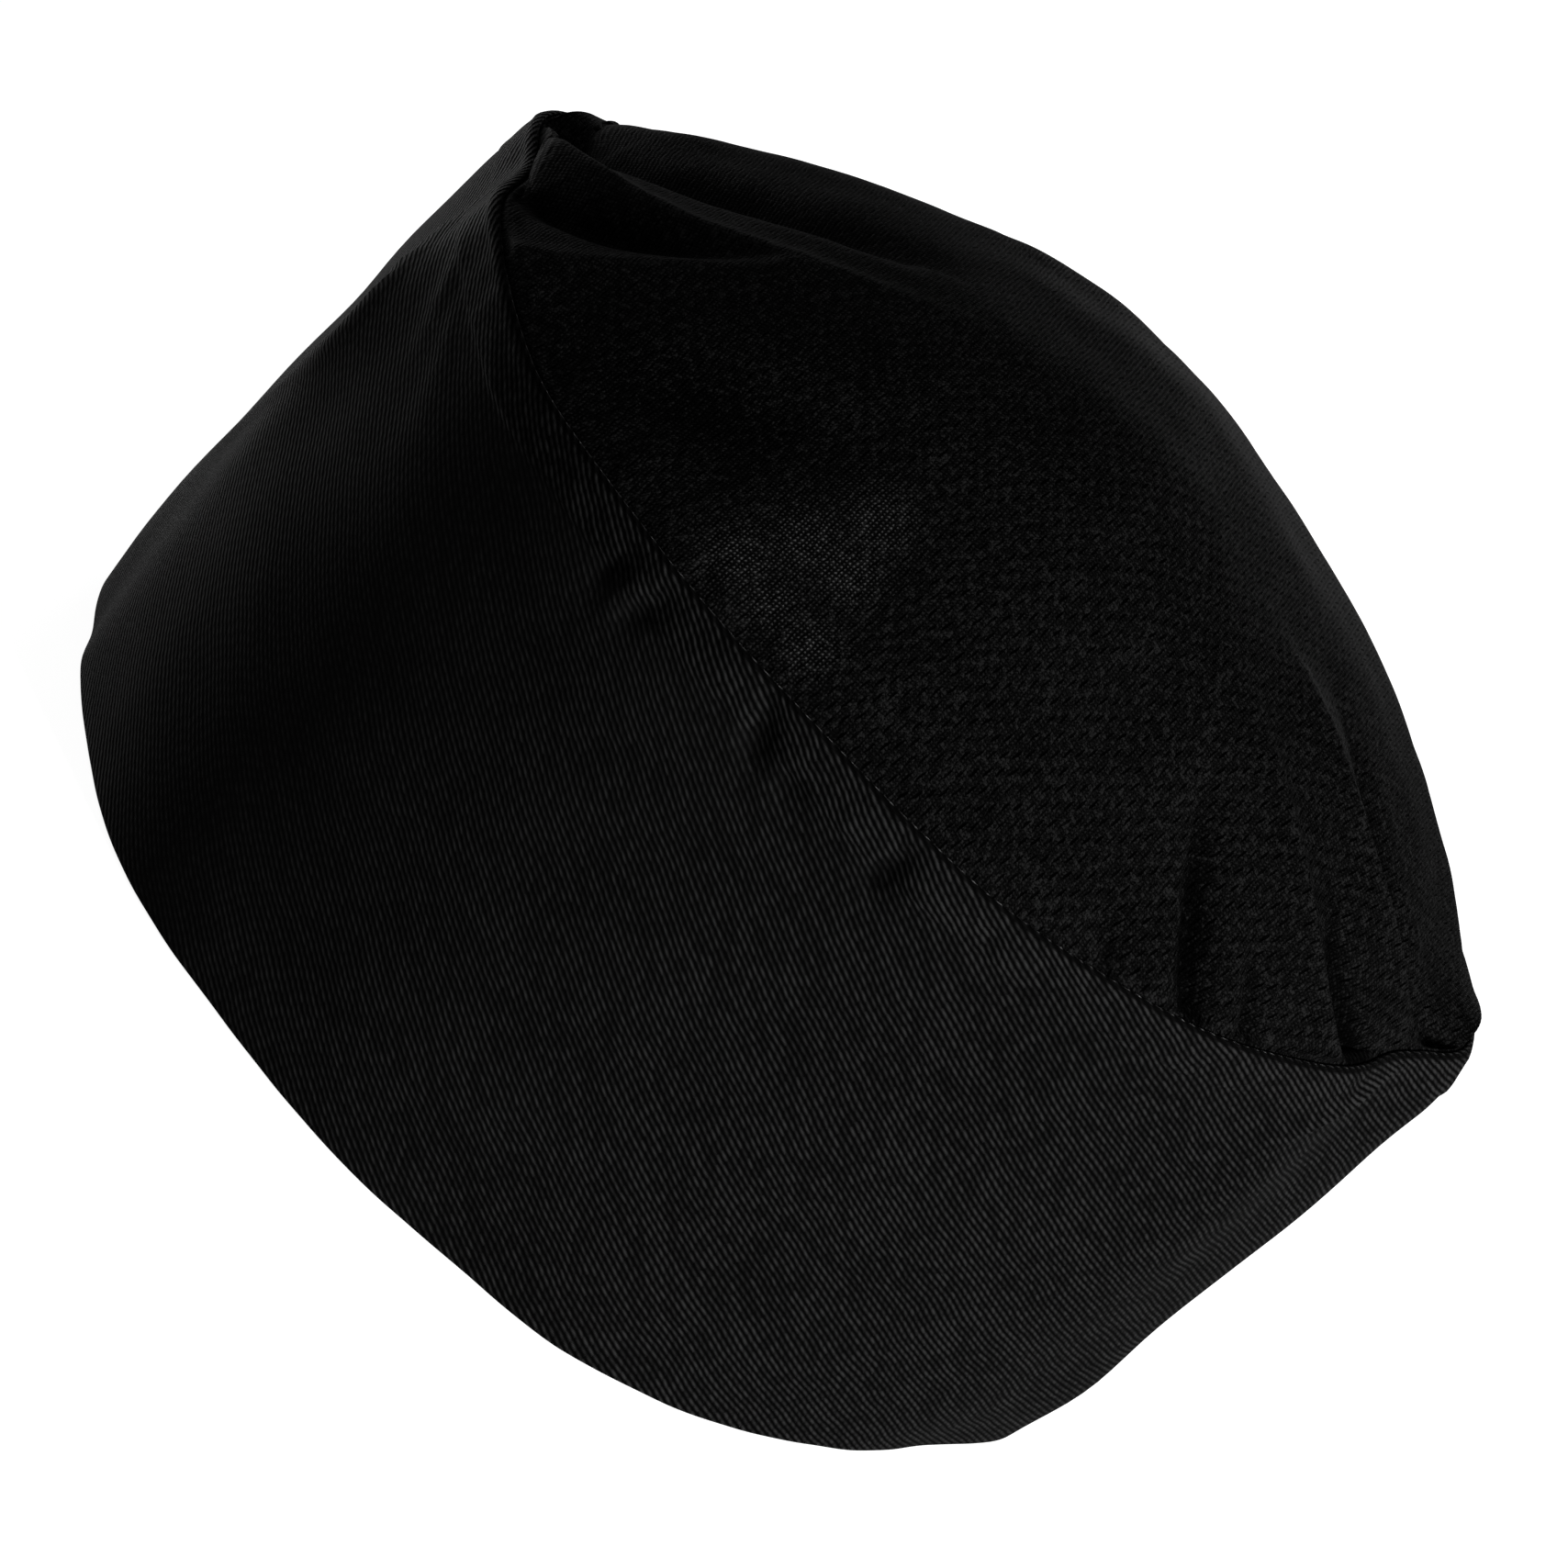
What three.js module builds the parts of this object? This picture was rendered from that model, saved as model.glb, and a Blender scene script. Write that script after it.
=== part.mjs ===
// A cook's skull cap: a twill side band, a knitted mesh crown, and the strip of
// turned-in edges that joins them. Millimetres, +Z up, the hat stands on its open rim.
// The long axis X runs from the forehead (-X) to the nape (+X).
import * as THREE from 'three';

// Cloth thicknesses and the clearance left between pieces
const bandWall = 1.6;
const crownWall = 1.2;
const stripWall = 1.2;
const gap = 0.3;

// Plan of the lower edge and of the crown seam, as rounded ovals.
// An exponent of 2 is an ellipse, more is squarer and less is more pointed.
const hemPlan = {
  halfLength: 101.5, halfWidth: 87.4, centreX: -2.6,
  frontNear: 1.88, backNear: 1.62, frontFar: 1.88, backFar: 1.72,
};
const seamPlan = {
  halfLength: 103.7, halfWidth: 86.3, centreX: 1.4,
  frontNear: 2.25, backNear: 1.98, frontFar: 1.9, backFar: 1.85,
};

// The band is taller over the forehead, and its ends swell just under the seam
const bandHeight = 109;
const bandFall = 2.9;
const endSwell = 3.4;

// The cloth tucks in beside both ends of the oval, where the cap folds flat
const tuckColumns = ['heading', 'depth', 'width'];
const tucks = [
  [-169.5, 4.8, 8],
  [-156.5, 1.5, 5],
  [-22, 4.8, 13],
  [-10, 4.4, 7.5],
  [14, 3.4, 9],
  [168, 4.2, 8],
];
const tuckFade = 2.2;

// Places where the crown seam sags
const sagColumns = ['heading', 'drop', 'width'];
const sags = [
  [-137, 1.5, 11],
  [-68, 1.0, 15],
  [22, 1.2, 14],
  [158, 4.2, 15],
];

// Places where the lower edge stands out or in
const hemBulgeColumns = ['heading', 'out', 'width'];
const hemBulges = [
  [-168, -1.5, 5],
  [-133, 2.9, 14],
  [-85, -1.0, 9],
  [-68, 1.4, 7],
  [-54, 4.3, 19],
  [-13, -3.2, 10],
  [60, 3.0, 20],
  [130, 2.0, 14],
];

// Soft swellings and hollows of the two ends, at a level from 0 at the lower edge to 1 at the seam
const bumpColumns = ['heading', 'level', 'width', 'spread', 'out'];
const bumps = [
  [180, 0.14, 25, 0.16, 2.2],
  [180, 0.60, 25, 0.10, -1.0],
  [178, 0.95, 12, 0.12, 1.4],
  [-2, 0.14, 25, 0.13, 2.2],
  [-2, 0.53, 20, 0.12, -0.4],
  [0, 0.92, 10, 0.10, 2.2],
];

// Upright ridges and hollows of the band beside the tucks
const bandRidgeColumns = ['headingLow', 'headingHigh', 'level', 'spread', 'height', 'width'];
const bandRidges = [
  [-172, -158, 0.72, 0.34, 2.2, 6],
  [-22, -23, 0.80, 0.26, 1.8, 7],
  [-146, -150, 0.75, 0.25, -1.2, 8],
  [-40, -36, 0.78, 0.26, -1.2, 9],
  [158, 152, 0.70, 0.30, 1.6, 9],
  [26, 30, 0.70, 0.30, 1.6, 10],
];

// How high the crown stands over the seam along the hat, as a share of its full rise
const crownRise = 43.6;
const crestColumns = ['along', 'rise'];
const crest = [
  [-1, 0],
  [-0.84, 0.33],
  [-0.6, 0.68],
  [-0.3, 0.91],
  [0, 1],
  [0.3, 0.875],
  [0.6, 0.68],
  [0.84, 0.36],
  [1, 0],
];

// Section across the crown, from the near seam to the far seam
const archColumns = ['across', 'rise'];
const arch = [
  [0, 0],
  [0.018, 0.15],
  [0.055, 0.30],
  [0.13, 0.58],
  [0.23, 0.85],
  [0.30, 0.94],
  [0.39, 0.995],
  [0.50, 1],
  [0.60, 0.925],
  [0.74, 0.68],
  [0.87, 0.37],
  [0.96, 0.13],
  [1, 0],
];

// Folds of the crown. Each runs from a start over a middle to an end, in shares of the
// way along the hat and across the crown; height is negative for a valley.
const foldColumns = [
  'startAlong', 'startAcross', 'midAlong', 'midAcross', 'endAlong', 'endAcross', 'width', 'height',
];
const folds = [
  [0.03, 0.22, 0.07, 0.30, 0.16, 0.30, 4.5, 2.6],
  [0.05, 0.33, 0.165, 0.275, 0.38, 0.375, 5, 1.8],
  [0.148, 0.02, 0.20, 0.18, 0.29, 0.32, 5, 1.4],
  [0.11, 0.13, 0.165, 0.20, 0.27, 0.31, 5, -4.4],
  [0.02, 0.42, 0.15, 0.40, 0.33, 0.43, 5, -5.0],
  [0.02, 0.60, 0.14, 0.60, 0.36, 0.58, 7, 1.6],
  [0.01, 0.95, 0.05, 0.92, 0.13, 0.84, 6, 1.7],
  [0.24, 0.06, 0.33, 0.14, 0.42, 0.20, 9, -1.8],
  [0.36, 0.60, 0.42, 0.62, 0.47, 0.62, 7, 1.6],
  [0.55, 0.66, 0.64, 0.68, 0.75, 0.68, 9, 1.3],
  [0.751, 0.02, 0.715, 0.09, 0.655, 0.22, 4.5, -2.9],
  [0.868, 0.02, 0.785, 0.225, 0.65, 0.315, 5.5, 2.0],
  [0.888, 0.03, 0.848, 0.15, 0.79, 0.25, 4.5, -3.2],
  [0.90, 0.29, 0.80, 0.30, 0.68, 0.40, 5.5, 1.4],
  [0.985, 0.12, 0.965, 0.26, 0.93, 0.36, 4, -2.4],
  [0.97, 0.80, 0.90, 0.74, 0.78, 0.66, 10, 3.2],
  [0.75, 0.97, 0.72, 0.90, 0.68, 0.83, 5, -2.4],
  [0.22, 0.97, 0.25, 0.88, 0.29, 0.80, 6, -2.4],
];
const foldSteps = 14;
const foldFadeAtSeam = 4;

// The strip of turned-in edges lies inside the band, under the edge of the crown
const crownTuckIn = 1.5;
const stripHeight = 8;

// Fineness of the solids
const halfStations = 48;
const acrossSteps = 32;
const bandLevels = [0, 0.16, 0.34, 0.50, 0.64, 0.76, 0.86, 0.93, 0.97, 1];

const degrees = Math.PI / 180;

function rows(columns, table) {
  return table.map((values) => Object.fromEntries(columns.map((name, i) => [name, values[i]])));
}

// Smooth curve through the rows of a table, without overshoot
function curveThrough(table, xName, yName) {
  const x = table.map((row) => row[xName]);
  const y = table.map((row) => row[yName]);
  const rise = x.slice(1).map((value, i) => (y[i + 1] - y[i]) / (value - x[i]));
  const slope = x.map((_, i) => {
    if (i === 0) return rise[0];
    if (i === x.length - 1) return rise[i - 1];
    if (rise[i - 1] * rise[i] <= 0) return 0;
    return 2 * rise[i - 1] * rise[i] / (rise[i - 1] + rise[i]);
  });
  return (at) => {
    let k = 0;
    while (k < x.length - 2 && at > x[k + 1]) k += 1;
    const step = x[k + 1] - x[k];
    const t = Math.min(1, Math.max(0, (at - x[k]) / step));
    const a = (1 + 2 * t) * (1 - t) ** 2;
    const b = t * (1 - t) ** 2;
    const c = t * t * (3 - 2 * t);
    const d = t * t * (t - 1);
    return a * y[k] + b * step * slope[k] + c * y[k + 1] + d * step * slope[k + 1];
  };
}

function bell(distance, width) {
  return Math.exp(-((distance / width) ** 2));
}

function smooth(value) {
  const t = Math.min(1, Math.max(0, value));
  return t * t * (3 - 2 * t);
}

function turnBetween(a, b) {
  return ((a - b + 540) % 360) - 180;
}

// Distance of an oval's edge from its centre, seen along a heading
function ovalReach(plan, heading) {
  const c = Math.cos(heading);
  const s = Math.sin(heading);
  const towardsBack = 0.5 + 0.5 * Math.tanh(4 * c);
  const towardsFar = 0.5 + 0.5 * Math.tanh(4 * s);
  const near = plan.frontNear * (1 - towardsBack) + plan.backNear * towardsBack;
  const far = plan.frontFar * (1 - towardsBack) + plan.backFar * towardsBack;
  const n = near * (1 - towardsFar) + far * towardsFar;
  return (Math.abs(c / plan.halfLength) ** n + Math.abs(s / plan.halfWidth) ** n) ** (-1 / n);
}

const tuckRows = rows(tuckColumns, tucks);
const sagRows = rows(sagColumns, sags);
const hemBulgeRows = rows(hemBulgeColumns, hemBulges);
const bumpRows = rows(bumpColumns, bumps);

// What the rows of a table come to at a heading, each fading away to its sides
function sumAround(table, name, heading) {
  const at = heading / degrees;
  return table.reduce((sum, row) => sum + row[name] * bell(turnBetween(at, row.heading), row.width), 0);
}

function bumpHeight(heading, level) {
  const at = heading / degrees;
  return bumpRows.reduce((sum, row) => (
    sum + row.out * bell(turnBetween(at, row.heading), row.width) * bell(level - row.level, row.spread)
  ), 0);
}

const ridgeRows = rows(bandRidgeColumns, bandRidges);

function ridgeHeight(heading, level) {
  const at = heading / degrees;
  return ridgeRows.reduce((sum, row) => {
    const line = row.headingLow + (row.headingHigh - row.headingLow) * level;
    return sum + row.height * bell(turnBetween(at, line), row.width) * bell(level - row.level, row.spread);
  }, 0);
}

// A point of the band's outer face, level 0 at the lower edge and 1 at the seam
function bandPoint(heading, level) {
  const tuck = sumAround(tuckRows, 'depth', heading) * level ** tuckFade;
  const bulge = sumAround(hemBulgeRows, 'out', heading) * (1 - level) ** 1.5;
  const low = ovalReach(hemPlan, heading);
  const high = ovalReach(seamPlan, heading);
  const c = Math.cos(heading);
  const s = Math.sin(heading);
  const swell = endSwell * Math.sin(Math.PI * level ** 1.4) * c * c;
  const ridge = ridgeHeight(heading, level) * smooth(level * 4);
  const reach = low + (high - low) * level - tuck + ridge + bulge + bumpHeight(heading, level);
  const centre = hemPlan.centreX + (seamPlan.centreX - hemPlan.centreX) * level;
  const sag = sumAround(sagRows, 'drop', heading);
  const top = bandHeight - bandFall * c * high / seamPlan.halfLength - sag;
  return new THREE.Vector3(centre + (reach + swell) * c, (reach + 0.3 * swell) * s, top * level);
}

// The same point, moved inwards across the cloth by a depth
function bandPointInside(heading, level, depth) {
  const before = bandPoint(heading - 0.01, level);
  const after = bandPoint(heading + 0.01, level);
  const inwards = new THREE.Vector3(before.y - after.y, after.x - before.x, 0).normalize();
  return bandPoint(heading, level).addScaledVector(inwards, depth);
}

const crestAt = curveThrough(rows(crestColumns, crest), 'along', 'rise');

// The section across the crown, stepped evenly along its own length
const archRows = rows(archColumns, arch);
let archLength = 0;
archRows.forEach((row, i) => {
  if (i > 0) {
    const last = archRows[i - 1];
    const aside = 2 * seamPlan.halfWidth * (row.across - last.across);
    archLength += Math.hypot(aside, crownRise * (row.rise - last.rise));
  }
  row.walked = archLength;
});
archRows.forEach((row) => {
  row.walked /= archLength;
});
const archAcross = curveThrough(archRows, 'walked', 'across');
const archRise = curveThrough(archRows, 'walked', 'rise');

const crownInset = bandWall + gap;

function nearHeading(along) {
  return -Math.PI * (1 - along);
}

// A point of the crown before its folds, along 0..1 front to back, across 0..1 near to far
function smoothCrownPoint(along, across) {
  const near = bandPointInside(nearHeading(along), 1, crownInset);
  const far = bandPointInside(-nearHeading(along), 1, crownInset);
  const point = near.lerp(far, archAcross(across));
  point.z += crownRise * crestAt(-Math.cos(Math.PI * along)) * archRise(across);
  return point;
}

function crownNormal(along, across) {
  const a = Math.min(0.985, Math.max(0.015, along));
  const b = Math.min(0.99, Math.max(0.01, across));
  const alongWay = smoothCrownPoint(a + 0.004, b).sub(smoothCrownPoint(a - 0.004, b));
  const acrossWay = smoothCrownPoint(a, b + 0.004).sub(smoothCrownPoint(a, b - 0.004));
  return alongWay.cross(acrossWay).normalize();
}

// Points along each fold, on the smooth crown
const foldRows = rows(foldColumns, folds).map((row) => {
  const line = [];
  for (let i = 0; i <= foldSteps; i += 1) {
    const t = i / foldSteps;
    const a = (1 - t) ** 2;
    const b = 2 * t * (1 - t);
    const c = t * t;
    const along = a * row.startAlong + b * row.midAlong + c * row.endAlong;
    const across = a * row.startAcross + b * row.midAcross + c * row.endAcross;
    line.push({ place: smoothCrownPoint(along, across), strength: Math.sin(Math.PI * (0.22 + 0.7 * t)) });
  }
  return { ...row, line };
});

function foldHeight(point) {
  return foldRows.reduce((sum, row) => {
    const strongest = row.line.reduce((best, { place, strength }) => (
      Math.max(best, strength * bell(point.distanceTo(place), row.width))
    ), 0);
    return sum + row.height * strongest;
  }, 0);
}

function crownPoint(along, across) {
  const point = smoothCrownPoint(along, across);
  const near = bandPointInside(nearHeading(along), 1, crownInset);
  const far = bandPointInside(-nearHeading(along), 1, crownInset);
  const fromSeam = Math.min(point.distanceTo(near), point.distanceTo(far));
  const lift = foldHeight(point) * smooth(fromSeam / foldFadeAtSeam);
  return point.addScaledVector(crownNormal(along, across), lift);
}

// A closed body from an outer and an inner skin of the same layout
class Skin {
  constructor() {
    this.points = [];
    this.faces = [];
  }

  add(point) {
    this.points.push(point.x, point.y, point.z);
    return this.points.length / 3 - 1;
  }

  // Four corners, anticlockwise as seen from outside
  quad(a, b, c, d) {
    if (a !== b && b !== c && a !== c) this.faces.push(a, b, c);
    if (a !== c && c !== d && a !== d) this.faces.push(a, c, d);
  }

  // A belt between two closed loops, the second one higher on an outward face
  belt(low, high) {
    low.forEach((_, i) => {
      const j = (i + 1) % low.length;
      this.quad(low[i], low[j], high[j], high[i]);
    });
  }

  mesh(name, material) {
    const geometry = new THREE.BufferGeometry();
    geometry.setAttribute('position', new THREE.Float32BufferAttribute(this.points, 3));
    geometry.setIndex(this.faces);
    geometry.computeVertexNormals();
    const mesh = new THREE.Mesh(geometry, material);
    mesh.name = name;
    return mesh;
  }
}

const headings = Array.from({ length: 2 * halfStations }, (_, i) => Math.PI * (i / halfStations - 1));

function loopInside(skin, level, depth) {
  return headings.map((heading) => skin.add(bandPointInside(heading, level, depth)));
}

function levelBelowSeam(drop) {
  return 1 - drop / bandHeight;
}

function makeBand() {
  const skin = new Skin();
  const outer = bandLevels.map((level) => loopInside(skin, level, 0));
  const inner = bandLevels.map((level) => loopInside(skin, level, bandWall));
  for (let i = 1; i < bandLevels.length; i += 1) {
    skin.belt(outer[i - 1], outer[i]);
    skin.belt(inner[i], inner[i - 1]);
  }
  skin.belt(inner[0], outer[0]);
  skin.belt(outer.at(-1), inner.at(-1));
  const material = new THREE.MeshStandardMaterial({ color: 0x0c0c0d, roughness: 0.86, metalness: 0 });
  return skin.mesh('band', material);
}

function makeStrip() {
  const skin = new Skin();
  const top = levelBelowSeam(crownTuckIn + gap);
  const low = levelBelowSeam(crownTuckIn + gap + stripHeight);
  const outside = crownInset;
  const inside = crownInset + stripWall;
  const outerTop = loopInside(skin, top, outside);
  const outerLow = loopInside(skin, low, outside);
  const innerTop = loopInside(skin, top, inside);
  const innerLow = loopInside(skin, low, inside);
  skin.belt(outerLow, outerTop);
  skin.belt(innerTop, innerLow);
  skin.belt(outerTop, innerTop);
  skin.belt(innerLow, outerLow);
  const material = new THREE.MeshStandardMaterial({ color: 0x0b0b0c, roughness: 0.9, metalness: 0 });
  return skin.mesh('seam_allowance', material);
}

// One side of the crown as rows of points from front to back; each end is a single point
function crownGrid(skin, place) {
  const tips = [0, 1].map((along) => skin.add(place(along, 0.5)));
  return Array.from({ length: halfStations + 1 }, (_, i) => {
    if (i === 0 || i === halfStations) return new Array(acrossSteps + 1).fill(tips[i === 0 ? 0 : 1]);
    return Array.from({ length: acrossSteps + 1 }, (_, j) => (
      skin.add(place(i / halfStations, j / acrossSteps))
    ));
  });
}

// The loop of a grid's edge, in the order of the headings
function edgeLoop(grid) {
  const near = grid.map((row) => row[0]);
  const far = grid.map((row) => row[acrossSteps]).reverse();
  return [...near, ...far.slice(1, -1)];
}

function makeCrown() {
  const skin = new Skin();
  const heart = new THREE.Vector3(seamPlan.centreX, 0, bandHeight - 30);
  const outerPoint = (along, across) => crownPoint(along, across);
  const innerPoint = (along, across) => {
    const point = crownPoint(along, across);
    const atSeam = across === 0 || across === 1 || along === 0 || along === 1;
    if (atSeam) {
      const heading = across === 1 ? -nearHeading(along) : nearHeading(along);
      return bandPointInside(heading, 1, crownInset + crownWall);
    }
    const inwards = heart.clone().sub(point).normalize();
    const square = Math.max(0.6, -inwards.dot(crownNormal(along, across)));
    return point.addScaledVector(inwards, crownWall / square);
  };
  const outer = crownGrid(skin, outerPoint);
  const inner = crownGrid(skin, innerPoint);
  for (let i = 0; i < halfStations; i += 1) {
    for (let j = 0; j < acrossSteps; j += 1) {
      skin.quad(outer[i][j], outer[i + 1][j], outer[i + 1][j + 1], outer[i][j + 1]);
      skin.quad(inner[i][j], inner[i][j + 1], inner[i + 1][j + 1], inner[i + 1][j]);
    }
  }
  const low = levelBelowSeam(crownTuckIn);
  const outerLow = loopInside(skin, low, crownInset);
  const innerLow = loopInside(skin, low, crownInset + crownWall);
  skin.belt(outerLow, edgeLoop(outer));
  skin.belt(edgeLoop(inner), innerLow);
  skin.belt(innerLow, outerLow);
  const material = new THREE.MeshStandardMaterial({ color: 0x101011, roughness: 0.8, metalness: 0 });
  return skin.mesh('crown', material);
}

const hat = new THREE.Group();
hat.name = 'skull_cap';
hat.add(makeBand(), makeCrown(), makeStrip());

export default hat;
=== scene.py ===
import math
import bmesh
import bpy
import numpy as np
from mathutils import Matrix, Vector, noise


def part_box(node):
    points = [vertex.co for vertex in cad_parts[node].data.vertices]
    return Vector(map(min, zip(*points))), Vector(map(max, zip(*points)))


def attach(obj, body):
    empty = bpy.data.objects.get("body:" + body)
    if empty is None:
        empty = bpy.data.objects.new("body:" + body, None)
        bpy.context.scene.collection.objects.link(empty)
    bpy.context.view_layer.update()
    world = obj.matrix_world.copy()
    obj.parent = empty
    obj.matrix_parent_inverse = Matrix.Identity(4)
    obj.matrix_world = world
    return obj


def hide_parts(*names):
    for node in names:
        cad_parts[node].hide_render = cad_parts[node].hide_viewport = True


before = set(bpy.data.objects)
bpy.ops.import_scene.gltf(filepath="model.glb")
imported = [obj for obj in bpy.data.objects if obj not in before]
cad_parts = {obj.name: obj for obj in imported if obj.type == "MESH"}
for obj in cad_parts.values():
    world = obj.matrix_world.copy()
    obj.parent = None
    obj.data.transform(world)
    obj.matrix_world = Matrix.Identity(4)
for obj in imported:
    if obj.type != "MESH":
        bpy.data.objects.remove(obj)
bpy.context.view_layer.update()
mm = 0.001  # cloth is shaped in millimetres, and its mesh is made in metres

# The camera looks down by 25 degrees and is rolled, so the forehead end points up and left
cameraView = {
    "elevation": 25.35,
    "roll": 43.9,
    "distance": 1.1,
    "aim": (-0.00395, 0, 0.075),
    "aimPixel": (923.45, 762.3),
    "pixelsPerMetre": 6837,
    "imagePixels": 1708,
    "sensorWidth": 36,
}


def makeCamera():
    elevation = math.radians(cameraView["elevation"])
    roll = math.radians(cameraView["roll"])
    back = Vector((0, -math.cos(elevation), math.sin(elevation)))
    level = Vector((1, 0, 0))
    upright = back.cross(level)
    imageRight = level * math.cos(roll) + upright * math.sin(roll)
    imageUp = upright * math.cos(roll) - level * math.sin(roll)
    middle = cameraView["imagePixels"] / 2
    aside = (middle - cameraView["aimPixel"][0]) / cameraView["pixelsPerMetre"]
    above = (cameraView["aimPixel"][1] - middle) / cameraView["pixelsPerMetre"]
    aim = Vector(cameraView["aim"])
    place = aim + back * cameraView["distance"]
    backward = (place - aim - imageRight * aside - imageUp * above).normalized()
    sideways = imageUp.cross(backward).normalized()
    turn = Matrix((sideways, backward.cross(sideways), backward)).transposed()
    data = bpy.data.cameras.new("camera")
    data.sensor_width = cameraView["sensorWidth"]
    focalPixels = cameraView["pixelsPerMetre"] * cameraView["distance"]
    data.lens = focalPixels * cameraView["sensorWidth"] / cameraView["imagePixels"]
    camera = bpy.data.objects.new("camera", data)
    camera.matrix_world = Matrix.Translation(place) @ turn.to_4x4()
    bpy.context.scene.collection.objects.link(camera)
    bpy.context.scene.camera = camera


makeCamera()
print("camera placed")


# A socket that can stand in a sum; numbers may stand on either side of it
class Wire:
    def __init__(self, nodes, socket):
        self.nodes = nodes
        self.socket = socket

    def work(self, operation, *values):
        return self.nodes.add("ShaderNodeMath", {"operation": operation}, dict(enumerate(values)))

    def __add__(self, other):
        return self.work("ADD", self, other)

    def __radd__(self, other):
        return self.work("ADD", other, self)

    def __sub__(self, other):
        return self.work("SUBTRACT", self, other)

    def __rsub__(self, other):
        return self.work("SUBTRACT", other, self)

    def __mul__(self, other):
        return self.work("MULTIPLY", self, other)

    def __rmul__(self, other):
        return self.work("MULTIPLY", other, self)

    def __truediv__(self, other):
        return self.work("DIVIDE", self, other)

    def __pow__(self, other):
        return self.work("POWER", self, other)

    def __abs__(self):
        return self.work("ABSOLUTE", self)

    def floor(self):
        return self.work("FLOOR", self)

    def fraction(self):
        return self.work("FRACT", self)

    # 1 at whole numbers, 0 halfway between them
    def wave(self):
        return self.work("COSINE", self * (2 * math.pi)) * 0.5 + 0.5

    # 0 below the first value and 1 above the second, or the other way round
    def step(self, start, end):
        values = {"Value": self, "From Min": start, "From Max": end}
        return self.nodes.add("ShaderNodeMapRange", {"interpolation_type": "SMOOTHSTEP"}, values)


# A node tree whose nodes all come from one method
class Nodes:
    def __init__(self, tree):
        self.tree = tree
        self.tree.nodes.clear()

    def add(self, kind, settings=None, values=None, output=0):
        node = self.tree.nodes.new(kind)
        for name, value in (settings or {}).items():
            setattr(node, name, value)
        for name, value in (values or {}).items():
            if isinstance(value, Wire):
                self.tree.links.new(value.socket, node.inputs[name])
            else:
                node.inputs[name].default_value = value
        return Wire(self, node.outputs[output]) if len(node.outputs) else node

    def mix(self, share, low, high):
        settings = {"data_type": "RGBA"}
        values = {"Factor": share, 6: low, 7: high}
        return self.add("ShaderNodeMix", settings, values, 2)

    # Where a point lies on the flat cloth, in millimetres
    def clothPlace(self):
        place = self.add("ShaderNodeUVMap", {"uv_map": "cloth"})
        along = self.add("ShaderNodeSeparateXYZ", {}, {0: place}, 0) / mm
        across = self.add("ShaderNodeSeparateXYZ", {}, {0: place}, 1) / mm
        return along, across

    def spot(self, x, y, z=0.0):
        return self.add("ShaderNodeCombineXYZ", {}, {"X": x, "Y": y, "Z": z})

    def cloud(self, place, size, detail=2.0):
        values = {"Vector": place, "Scale": 1 / size, "Detail": detail}
        return self.add("ShaderNodeTexNoise", {"noise_dimensions": "2D"}, values)

    def chance(self, place):
        return self.add("ShaderNodeTexWhiteNoise", {"noise_dimensions": "2D"}, {"Vector": place})

    def share(self, title):
        return self.add("ShaderNodeAttribute", {"attribute_name": title}, {}, 2)

    def finish(self, look, colour, roughness, height):
        relief = {"Height": height, "Distance": look["relief"] * mm, "Strength": 1.0}
        values = {
            "Base Color": colour,
            "Roughness": roughness,
            "Normal": self.add("ShaderNodeBump", {}, relief),
            "Specular IOR Level": look["gloss"],
            "Sheen Weight": look["sheen"],
            "Sheen Roughness": look["sheenRoughness"],
        }
        surface = self.add("ShaderNodeBsdfPrincipled", {}, values)
        self.add("ShaderNodeOutputMaterial", {}, {"Surface": surface})


def newMaterial(name):
    material = bpy.data.materials.new(name)
    material.use_nodes = True
    return material, Nodes(material.node_tree)


def grey(value, warmth=0.0):
    return (value * (1 + warmth), value, value * (1 - warmth), 1)


# Cotton twill. Its diagonal wales run down towards the nape on the near side
twill = {
    "waleSpacing": 0.97,
    "waleSlant": 26,
    "yarnSpacing": 0.31,
    "floatLength": 2.0,
    "floatTilt": 0.1,
    "waver": 0.35,
    "slowSize": 22.0,
    "quickSize": 2.5,
    # painted light in the twill: the groove colour is painted shade between the wales, and the wale
    # colour is the yarn's dark tone with a painted sheen on the float tops
    "grooveShadeColour": grey(0.0008),
    "waleToneAndSheen": grey(0.0165),
    "waleSharpness": 1.7,
    "floatVariety": 0.9,
    "softLight": 0.24,  # what the wales' painted light and shade fade to where their contrast is softened
    "roughness": 0.5,
    "grooveRoughness": 0.12,
    "relief": 0.2,
    "gloss": 0.001,
    "sheen": 0.045,
    "sheenRoughness": 0.25,
    "backSeamWidth": 0.7,
    "backSeamDepth": 4,
    "backSeamShade": 0.7,
}


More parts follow.
